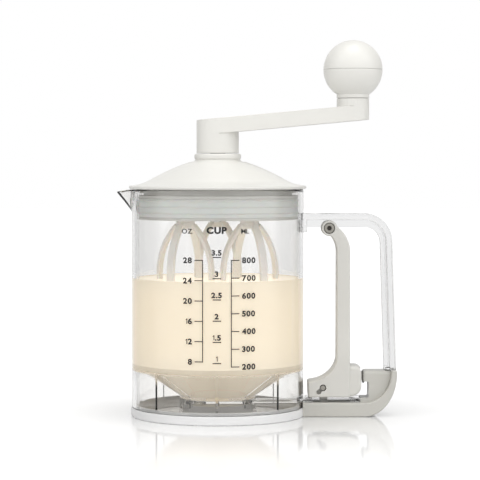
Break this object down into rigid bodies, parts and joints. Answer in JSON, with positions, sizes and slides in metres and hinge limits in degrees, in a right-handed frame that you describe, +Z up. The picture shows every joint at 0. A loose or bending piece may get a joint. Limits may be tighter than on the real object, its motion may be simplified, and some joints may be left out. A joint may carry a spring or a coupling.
{
  "type": "egg beater",
  "caption": "Hand-cranked batter mixer: clear measuring jar with a geared lid that turns whisks, ball-knob crank, clear handle with a trigger, and a slide valve in the base.",
  "frame": {"origin": "centre of the base ring's flat underside, on the jar's axis", "axes": "+Z up along the jar's axis, +X from the jar's axis towards the handle, -Y towards the side with the measuring scale"},
  "size_m": [0.1833, 0.116, 0.2456],
  "materials": {
    "clear_plastic": "clear gloss",
    "frosted_plastic": "frosted clear",
    "white_plastic": "satin white",
    "grey_white_plastic": "satin warm grey-white",
    "nylon": "moulded nylon",
    "silicone": "soft satin",
    "steel": "zinc-plated"
  },
  "bodies": {
    "jar": {"jar": "clear_plastic", "base_ring": "frosted_plastic", "outlet_gasket": "silicone", "outlet_nozzle": "frosted_plastic", "nozzle_screws": "steel", "handle_loop": "clear_plastic", "handle_base": "grey_white_plastic", "base_cover": "grey_white_plastic", "base_screws": "steel", "handle_screw": "steel", "slide_guides": "clear_plastic", "pivot_screw": "steel", "pivot_nut": "steel", "return_spring": "steel"},
    "trigger": {"trigger": "grey_white_plastic"},
    "slide": {"valve_slide": "clear_plastic", "slide_lug": "grey_white_plastic", "slide_peg": "steel"},
    "lid": {"lid_dome": "white_plastic", "lid_collar": "white_plastic", "gear_housing": "white_plastic", "housing_screws": "steel", "lid_gasket": "silicone", "gear_floor": "white_plastic", "floor_screws": "steel", "spindle_bushes": "nylon", "shaft_bush": "nylon"},
    "crank": {"crank_arm": "white_plastic", "drive_shaft": "steel", "drive_gear": "nylon", "crank_pin": "steel", "shaft_clip": "steel", "knob_spindle": "steel"},
    "knob": {"knob_lower": "white_plastic", "knob_upper": "white_plastic", "knob_washer": "nylon"},
    "whisk_a": {"pinion_1": "nylon", "whisk_1": "nylon"},
    "whisk_b": {"pinion_2": "nylon", "whisk_2": "nylon"},
    "whisk_c": {"pinion_3": "nylon", "whisk_3": "nylon"}
  },
  "joints": [
    {"name": "lid_lift", "type": "slide", "parent": "jar", "child": "lid", "axis": [0, 0, 1], "range_m": [0, 0.15]},
    {"name": "crank_spin", "type": "hinge", "parent": "lid", "child": "crank", "pos_m": [0, 0, 0.17], "axis": [0, 0, 1], "continuous": true},
    {"name": "knob_spin", "type": "hinge", "parent": "crank", "child": "knob", "pos_m": [0.0884, 0, 0.2263], "axis": [0, 0, 1], "continuous": true},
    {"name": "whisk_a_spin", "type": "hinge", "parent": "lid", "child": "whisk_a", "pos_m": [0, 0.024, 0.13], "axis": [0, 0, 1], "continuous": true},
    {"name": "whisk_b_spin", "type": "hinge", "parent": "lid", "child": "whisk_b", "pos_m": [-0.02079, -0.012, 0.13], "axis": [0, 0, 1], "continuous": true},
    {"name": "whisk_c_spin", "type": "hinge", "parent": "lid", "child": "whisk_c", "pos_m": [0.02079, -0.012, 0.13], "axis": [0, 0, 1], "continuous": true},
    {"name": "trigger_squeeze", "type": "hinge", "parent": "jar", "child": "trigger", "pos_m": [0.0728, 0, 0.123], "axis": [0, -1, 0], "range_deg": [0, 6.9], "stiffness_Nm_per_rad": 0.6, "springref_deg": -6.88, "deforming": ["return_spring"]},
    {"name": "valve_slide_travel", "type": "slide", "parent": "jar", "child": "slide", "axis": [1, 0, 0], "range_m": [0, 0.01291]}
  ],
  "couplings": [
    {"joint": "whisk_a_spin", "follows": "crank_spin", "ratio": -2.2},
    {"joint": "whisk_b_spin", "follows": "crank_spin", "ratio": -2.2},
    {"joint": "whisk_c_spin", "follows": "crank_spin", "ratio": -2.2},
    {"joint": "valve_slide_travel", "follows": "trigger_squeeze", "m_per_rad": 0.10385}
  ]
}
